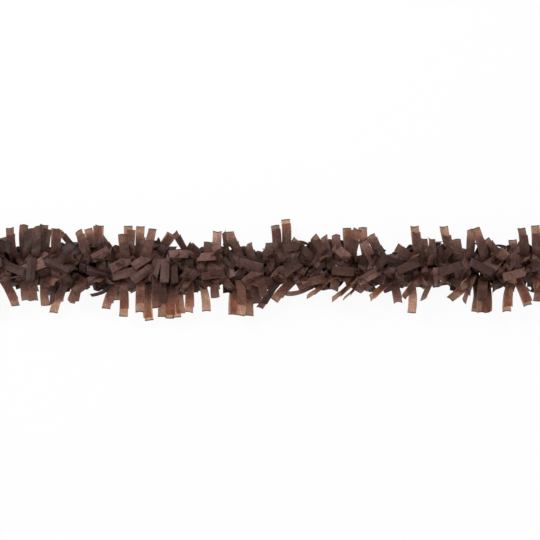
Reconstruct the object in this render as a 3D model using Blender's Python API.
"""Tissue festooning garland, a length of it with both ends tied off. Metres, Z up.

Four plies of tissue strip, slit from both edges towards an unslit spine, lie two below and two above a string, and
a thread that passes through the slits binds them to it. The garland lies along X on the plane z = 0, with its
origin at the middle of its footprint. The real one is limp all along. Here it is made of short sections, each
stiff, that bend, sway and twist on each other at the string.
"""

import math

import bmesh
import bpy
from mathutils import Vector

# The tissue strip
STRIP_WIDTH = 0.1016
SPINE_WIDTH = 0.006
STRAND_PITCH = 0.0095
SLIT_GAP = 0.001
TIP_WIDTH = 0.0075
PLY_THICKNESS = 0.0004
PLY_GAP = 0.0003

# How the strands lie
BORDER_LEAN_DEGREES = 6.5
LANDING_DEGREES = -45.0
FAN_DEGREES = 5.0
BEND_SHARE = 0.5
SHORTEST_SHARE = 0.1
PLY_ANGLES_DEGREES = {2: (12.0, 4.0), 3: (66.0, -30.0), 4: (80.0, -18.0)}
CORE_REACH_SHARE = 0.43
FOLDED_ANGLES_DEGREES = (76.0, 172.0)
FOLDED_REACH_SHARE = 0.48
STANDING_ANGLES_DEGREES = (76.0, 68.0)
STANDING_REACH_SHARE = 0.32
STANDING_STEP = 3

# The string, its binding and its height above the surface
STRING_DIAMETER = 0.0018
THREAD_DIAMETER = 0.0004
CORE_HEIGHT = 0.014
CLEARANCE = 0.0003
STRING_GAP = 0.0006
THREAD_END_GAP = 0.001

# Sections
SECTION_COUNT = 6
SECTION_STRANDS = 10
ROOT_SECTION = 3
BINDING_STEP = 2

# The tied ends
TAIL_GAP = 0.0008
TAIL_LENGTH = 0.032
TAIL_POINTS = 12
KNOT_LENGTH = 0.006
KNOT_WIDTH = 0.0056
KNOT_HEIGHT = 0.0046
KNOT_SEGMENTS = 12
KNOT_RINGS = 8
LOOP_LENGTH = 0.028
LOOP_WIDTH = 0.016
LOOP_FOOT_SPACING = 0.0026
LOOP_POINTS = 24
FOOT_FALL_SHARE = 0.2

# How far the strands of the outline, those of ply 2, reach from the middle, as shares of half the strip's width, one
# row for each section. A crumpled or curled strand reaches less far than a straight one, and the strands of the other
# plies are crumpled into the core.
BACK_REACH_SHARES = (
    (0.75, 0.63, 0.82, 0.45, 0.87, 0.85, 0.88, 0.80, 0.75, 0.57),
    (0.80, 0.87, 0.62, 0.48, 0.69, 0.85, 0.85, 0.56, 0.79, 0.71),
    (0.45, 0.47, 0.40, 0.54, 0.75, 0.75, 0.75, 0.49, 0.35, 0.53),
    (0.86, 1.00, 0.58, 0.51, 0.65, 0.65, 0.60, 0.67, 0.81, 0.82),
    (0.68, 0.39, 0.38, 0.44, 0.44, 0.85, 0.60, 0.58, 0.85, 0.59),
    (0.78, 0.81, 0.55, 0.44, 0.44, 0.59, 0.81, 0.52, 0.86, 0.85),
)
FRONT_REACH_SHARES = (
    (0.80, 0.27, 0.30, 0.69, 0.60, 0.60, 0.69, 0.83, 0.38, 0.61),
    (0.49, 0.34, 0.75, 0.59, 0.90, 0.38, 0.82, 1.00, 0.91, 0.94),
    (0.92, 0.82, 0.38, 0.80, 0.53, 0.39, 0.87, 0.88, 0.89, 0.74),
    (0.59, 0.42, 0.25, 0.49, 0.32, 0.34, 0.55, 0.55, 0.33, 0.39),
    (0.55, 0.33, 0.33, 0.65, 0.83, 0.33, 0.57, 0.32, 0.34, 0.55),
    (0.63, 0.81, 0.81, 0.45, 0.81, 0.27, 0.69, 0.35, 0.60, 0.58),
)

# Colours in linear RGB
TISSUE_COLOURS = {
    1: (0.040, 0.018, 0.014),
    2: (0.052, 0.024, 0.019),
    3: (0.066, 0.032, 0.025),
    4: (0.078, 0.039, 0.031),
}
STRING_COLOUR = (0.58, 0.52, 0.44)
THREAD_COLOUR = (0.10, 0.05, 0.04)
PAPER_ROUGHNESS = 0.9
COTTON_ROUGHNESS = 0.85

# Worked out from the sizes above
SECTION_LENGTH = SECTION_STRANDS * STRAND_PITCH
GARLAND_LENGTH = SECTION_COUNT * SECTION_LENGTH
STRAND_WIDTH = STRAND_PITCH - SLIT_GAP
SPINE_HALF = SPINE_WIDTH / 2
STRAND_LENGTH = STRIP_WIDTH / 2 - SPINE_HALF
STRING_RADIUS = STRING_DIAMETER / 2
THREAD_RADIUS = THREAD_DIAMETER / 2
INNER_PLY_OFFSET = STRING_RADIUS + CLEARANCE + PLY_THICKNESS / 2
OUTER_PLY_OFFSET = INNER_PLY_OFFSET + PLY_THICKNESS + PLY_GAP
PLY_HEIGHTS = {
    1: CORE_HEIGHT - OUTER_PLY_OFFSET,
    2: CORE_HEIGHT - INNER_PLY_OFFSET,
    3: CORE_HEIGHT + INNER_PLY_OFFSET,
    4: CORE_HEIGHT + OUTER_PLY_OFFSET,
}


def remove_everything():
    for thing in list(bpy.data.objects):
        bpy.data.objects.remove(thing, do_unlink=True)


def section_border(number):
    """The X of the left border of section number, counted from 1. The right border is the next one's left."""
    return (number - 1) * SECTION_LENGTH - GARLAND_LENGTH / 2


def slit_place(section, slit):
    """The X of a slit. Slit 0 is the section's left border."""
    return section_border(section) + slit * STRAND_PITCH


def make_material(name, colour, roughness):
    material = bpy.data.materials.new(name)
    material.use_nodes = True
    shader = material.node_tree.nodes["Principled BSDF"]
    shader.inputs["Base Color"].default_value = (*colour, 1)
    shader.inputs["Roughness"].default_value = roughness
    shader.inputs["Metallic"].default_value = 0
    return material


def make_pivot(name, place, parent=None):
    """An empty on a joint's axis. The pieces of one body hang from it, and so do the bodies further out."""
    pivot = bpy.data.objects.new(name, None)
    bpy.context.scene.collection.objects.link(pivot)
    pivot.location = place
    if parent is not None:
        pivot.parent = parent
        pivot.location = place - pivot_place(parent)
    return pivot


def pivot_place(pivot):
    """Where a pivot is in the garland's own frame. Pivots aren't turned, so their places add up."""
    place = pivot.location.copy()
    while pivot.parent is not None:
        pivot = pivot.parent
        place += pivot.location
    return place


def make_object(name, data, material, pivot):
    """An object under a pivot. Its data holds places in the garland's own frame."""
    thing = bpy.data.objects.new(name, data)
    bpy.context.scene.collection.objects.link(thing)
    data.materials.append(material)
    thing.parent = pivot
    thing.location = -pivot_place(pivot)
    return thing


# Plies of tissue


def heading(side, lean, degrees):
    """A unit vector away from the spine: side is 1 for +Y and -1 for -Y, lean is towards +X, degrees is upwards."""
    up = math.radians(degrees)
    return Vector((math.sin(lean), side * math.cos(lean) * math.cos(up), math.cos(lean) * math.sin(up)))


def landed_strand(root, side, lean, reach):
    """A strand of the lowest ply: it falls to the surface and lies flat on it."""
    falling = heading(side, lean, LANDING_DEGREES)
    lying = heading(side, lean, 0)
    fall = (root.z - PLY_THICKNESS / 2) / -falling.z
    room = (reach - SPINE_HALF - fall * abs(falling.y)) / abs(lying.y)
    rest = max(min(STRAND_LENGTH - fall, room), SHORTEST_SHARE * STRAND_LENGTH)
    bend = root + falling * fall
    return (root, bend, bend + lying * rest), (falling, lying)


def raised_strand(root, side, lean, reach, angles):
    """A strand of an upper ply: it leaves the spine at one angle and bends to another."""
    near, far = (heading(side, lean, angle) for angle in angles)
    spread = BEND_SHARE * abs(near.y) + (1 - BEND_SHARE) * abs(far.y)
    length = min(STRAND_LENGTH, (reach - SPINE_HALF) / spread)
    bend = root + near * length * BEND_SHARE
    return (root, bend, bend + far * length * (1 - BEND_SHARE)), (near, far)


def outline_reach(section, side, lane):
    shares = BACK_REACH_SHARES if side > 0 else FRONT_REACH_SHARES
    return shares[(section - 1) % len(shares)][lane % len(shares[0])] * STRIP_WIDTH / 2


def stands_up(number, side):
    """Whether a strand of the top ply stands up. Number counts the lanes from the garland's left end."""
    return (number + (side > 0)) % STANDING_STEP == 0


def strand_course(section, ply, side, lane):
    """The points down the middle of a strand, from the spine to its tip, and its two headings.

    The strands of a section lean together a little towards its middle, which leaves room for the next section to
    bend, and neighbours lie higher and lower in turn. In the top ply one strand in a few stands up. Where none
    stands in a lane, the one on one side, or in turn on the other, is folded back over the string.
    """
    lane_share = (2 * lane + 1) / SECTION_STRANDS - 1
    lean = -math.radians(BORDER_LEAN_DEGREES) * lane_share
    middle = slit_place(section, lane) + STRAND_PITCH / 2
    root = Vector((middle, side * SPINE_HALF, PLY_HEIGHTS[ply]))
    core_reach = CORE_REACH_SHARE * STRIP_WIDTH / 2
    if ply not in PLY_ANGLES_DEGREES:
        return landed_strand(root, side, lean, core_reach)
    if ply == max(PLY_ANGLES_DEGREES):
        number = (section - 1) * SECTION_STRANDS + lane
        folded_side = -1 if number % 2 else 1
        if stands_up(number, side):
            reach = STANDING_REACH_SHARE * STRIP_WIDTH / 2
            return raised_strand(root, side, lean, reach, STANDING_ANGLES_DEGREES)
        if side == folded_side and not stands_up(number, -side):
            reach = FOLDED_REACH_SHARE * STRIP_WIDTH / 2
            return raised_strand(root, side, lean, reach, FOLDED_ANGLES_DEGREES)
    fan = FAN_DEGREES if (lane + ply) % 2 else -FAN_DEGREES
    angles = [angle + fan for angle in PLY_ANGLES_DEGREES[ply]]
    reach = outline_reach(section, side, lane) if ply == min(PLY_ANGLES_DEGREES) else core_reach
    return raised_strand(root, side, lean, reach, angles)


def ring_frame(side, along):
    """The directions across a strand and out of its upper face."""
    across = Vector((1, 0, 0))
    across = (across - along * across.dot(along)).normalized()
    return across, across.cross(along) * side


def grow_strand(bm, face, side, points, headings):
    """Extrudes the strand's root face to its bend and then to its tip."""
    centre = face.calc_center_median()
    across, upward = Vector((1, 0, 0)), Vector((0, 0, 1))
    near, far = headings
    half_turn = near.angle(far, 0) / 2
    bend_width = STRAND_WIDTH + (TIP_WIDTH - STRAND_WIDTH) * BEND_SHARE
    stops = (
        (points[1], (near + far).normalized(), bend_width, PLY_THICKNESS / math.cos(half_turn)),
        (points[2], far, TIP_WIDTH, PLY_THICKNESS),
    )
    for place, along, width, thickness in stops:
        face = bmesh.ops.extrude_discrete_faces(bm, faces=[face])["faces"][0]
        next_across, next_upward = ring_frame(side, along)
        for vert in face.verts:
            offset = vert.co - centre
            right = math.copysign(width / 2, offset.dot(across))
            high = math.copysign(thickness / 2, offset.dot(upward))
            vert.co = place + next_across * right + next_upward * high
        centre, across, upward = place, next_across, next_upward


def spine_outline(section):
    """The spine's corners seen from above, anticlockwise, with a short straight stretch at every slit."""
    edges = []
    for lane in range(SECTION_STRANDS):
        edges.append(slit_place(section, lane) + SLIT_GAP / 2)
        edges.append(slit_place(section, lane + 1) - SLIT_GAP / 2)
    front = [(x, -SPINE_HALF) for x in edges]
    back = [(x, SPINE_HALF) for x in reversed(edges)]
    return front + back


def make_ply(section, ply, material, pivot):
    bm = bmesh.new()
    low = PLY_HEIGHTS[ply] - PLY_THICKNESS / 2
    corners = [bm.verts.new((x, y, low)) for x, y in spine_outline(section)]
    under = bm.faces.new(corners)
    upper = bmesh.ops.extrude_face_region(bm, geom=[under], use_keep_orig=True)["geom"]
    lifted = [v for v in upper if isinstance(v, bmesh.types.BMVert)]
    bmesh.ops.translate(bm, verts=lifted, vec=(0, 0, PLY_THICKNESS))
    bmesh.ops.recalc_face_normals(bm, faces=bm.faces)
    roots = [f for f in bm.faces if abs(f.normal.y) > abs(f.normal.x) + abs(f.normal.z)]
    for face in roots:
        centre = face.calc_center_median()
        side = 1 if centre.y > 0 else -1
        lane = round((centre.x - section_border(section)) / STRAND_PITCH - 1 / 2)
        middle = slit_place(section, lane) + STRAND_PITCH / 2
        if abs(centre.x - middle) < SLIT_GAP / 2:
            grow_strand(bm, face, side, *strand_course(section, ply, side, lane))
    bmesh.ops.recalc_face_normals(bm, faces=bm.faces)
    mesh = bpy.data.meshes.new(f"section_{section}_ply_{ply}")
    bm.to_mesh(mesh)
    bm.free()
    return make_object(mesh.name, mesh, material, pivot)


# String, thread and the tied ends


def make_tube(name, points, radius, sides_step, material, pivot):
    """A tube along points, with filled caps. It has 4 sides, and two more for each sides_step."""
    curve = bpy.data.curves.new(name, "CURVE")
    curve.dimensions = "3D"
    curve.bevel_depth = radius
    curve.bevel_resolution = sides_step
    curve.use_fill_caps = True
    spline = curve.splines.new("POLY")
    spline.points.add(len(points) - 1)
    for point, place in zip(spline.points, points):
        point.co = (*place, 1)
    return make_object(name, curve, material, pivot)


def make_string(section, material, pivot):
    ends = (section_border(section) + STRING_GAP / 2, section_border(section + 1) - STRING_GAP / 2)
    points = [(x, 0, CORE_HEIGHT) for x in ends]
    return make_tube(f"section_{section}_string", points, STRING_RADIUS, 2, material, pivot)


def binding_points(section):
    """The thread's course: over the plies, down through a slit, under them, up through a slit on the other side."""
    stack = OUTER_PLY_OFFSET + PLY_THICKNESS / 2 + 2 * CLEARANCE + THREAD_RADIUS
    outer = SPINE_HALF + CLEARANCE + THREAD_RADIUS
    inner = SPINE_HALF - 2 * CLEARANCE - THREAD_RADIUS
    level = 1 if section % 2 else -1
    side = level
    points = [(section_border(section) + THREAD_END_GAP, 0, CORE_HEIGHT + level * stack)]
    for slit in range(1, SECTION_STRANDS, BINDING_STEP):
        x = slit_place(section, slit)
        points.append((x, side * inner, CORE_HEIGHT + level * stack))
        points.append((x, side * outer, CORE_HEIGHT + level * stack))
        level = -level
        points.append((x, side * outer, CORE_HEIGHT + level * stack))
        points.append((x, side * inner, CORE_HEIGHT + level * stack))
        side = -side
    points.append((section_border(section + 1) - THREAD_END_GAP, 0, CORE_HEIGHT + level * stack))
    return points


def make_thread(section, material, pivot):
    name = f"section_{section}_binding_thread"
    return make_tube(name, binding_points(section), THREAD_RADIUS, 0, material, pivot)


def eased(share):
    """0 to 1 with level ends."""
    share = min(max(share, 0), 1)
    return share * share * (3 - 2 * share)


def tail_start():
    """How far from the garland's middle the tail begins, on the axis of its swing."""
    return GARLAND_LENGTH / 2 - STRING_GAP / 2 + TAIL_GAP


def tail_points(direction):
    """The tail leaves level with the string and comes down to the knot."""
    points = []
    for i in range(TAIL_POINTS):
        share = i / (TAIL_POINTS - 1)
        x = tail_start() + share * TAIL_LENGTH
        z = CORE_HEIGHT + (KNOT_HEIGHT / 2 - CORE_HEIGHT) * eased(share)
        points.append((direction * x, 0, z))
    return points


def knot_middle():
    return tail_start() + TAIL_LENGTH + CLEARANCE + KNOT_LENGTH / 2


def loop_points(direction):
    """A drop shape, out of the knot, round and back into it. It comes down to lie on the surface."""
    foot = knot_middle() + KNOT_LENGTH / 2 + CLEARANCE
    belly = max(math.sin(2 * math.pi * i / LOOP_POINTS) * math.sin(math.pi * i / LOOP_POINTS)
                for i in range(LOOP_POINTS))
    points = []
    for i in range(LOOP_POINTS):
        share = i / (LOOP_POINTS - 1)
        x = foot + LOOP_LENGTH * (1 - math.cos(2 * math.pi * share)) / 2
        swell = math.sin(2 * math.pi * share) * math.sin(math.pi * share) / belly
        y = LOOP_FOOT_SPACING / 2 * math.cos(math.pi * share) + swell * (LOOP_WIDTH - STRING_DIAMETER) / 2
        fall = eased(min(share, 1 - share) / FOOT_FALL_SHARE)
        z = KNOT_HEIGHT / 2 + (STRING_RADIUS - KNOT_HEIGHT / 2) * fall
        points.append((direction * x, y, z))
    return points


def make_knot(name, direction, material, pivot):
    bm = bmesh.new()
    bmesh.ops.create_uvsphere(bm, u_segments=KNOT_SEGMENTS, v_segments=KNOT_RINGS, radius=1 / 2)
    bmesh.ops.scale(bm, verts=bm.verts, vec=(KNOT_LENGTH, KNOT_WIDTH, KNOT_HEIGHT))
    bmesh.ops.translate(bm, verts=bm.verts, vec=(direction * knot_middle(), 0, KNOT_HEIGHT / 2))
    mesh = bpy.data.meshes.new(name)
    bm.to_mesh(mesh)
    bm.free()
    mesh.shade_smooth()
    return make_object(name, mesh, material, pivot)


def make_tied_end(name, direction, material, parent):
    pivot = make_pivot(f"{name}_pivot", Vector((direction * tail_start(), 0, CORE_HEIGHT)), parent)
    make_tube(f"{name}_tail", tail_points(direction), STRING_RADIUS, 1, material, pivot)
    make_knot(f"{name}_knot", direction, material, pivot)
    make_tube(f"{name}_loop", loop_points(direction), STRING_RADIUS, 1, material, pivot)


def make_section(section, pivot, tissues, cotton, thread):
    for ply in PLY_HEIGHTS:
        make_ply(section, ply, tissues[ply], pivot)
    make_string(section, cotton, pivot)
    make_thread(section, thread, pivot)


def make_pivots():
    """One pivot for each section. The root section's is at its middle, and the others' are at the border that they
    turn on, each under the pivot of the section next to it on the root's side."""
    middle = section_border(ROOT_SECTION) + SECTION_LENGTH / 2
    pivots = {ROOT_SECTION: make_pivot(f"section_{ROOT_SECTION}_pivot", Vector((middle, 0, CORE_HEIGHT)))}
    for section in range(ROOT_SECTION - 1, 0, -1):
        place = Vector((section_border(section + 1), 0, CORE_HEIGHT))
        pivots[section] = make_pivot(f"section_{section}_pivot", place, pivots[section + 1])
    for section in range(ROOT_SECTION + 1, SECTION_COUNT + 1):
        place = Vector((section_border(section), 0, CORE_HEIGHT))
        pivots[section] = make_pivot(f"section_{section}_pivot", place, pivots[section - 1])
    return pivots


def make_garland():
    remove_everything()
    tissues = {
        ply: make_material(f"tissue_ply_{ply}", colour, PAPER_ROUGHNESS) for ply, colour in TISSUE_COLOURS.items()
    }
    cotton = make_material("cotton_string", STRING_COLOUR, COTTON_ROUGHNESS)
    thread = make_material("binding_thread", THREAD_COLOUR, COTTON_ROUGHNESS)
    pivots = make_pivots()
    for section, pivot in pivots.items():
        make_section(section, pivot, tissues, cotton, thread)
    make_tied_end("left", -1, cotton, pivots[1])
    make_tied_end("right", 1, cotton, pivots[SECTION_COUNT])


make_garland()
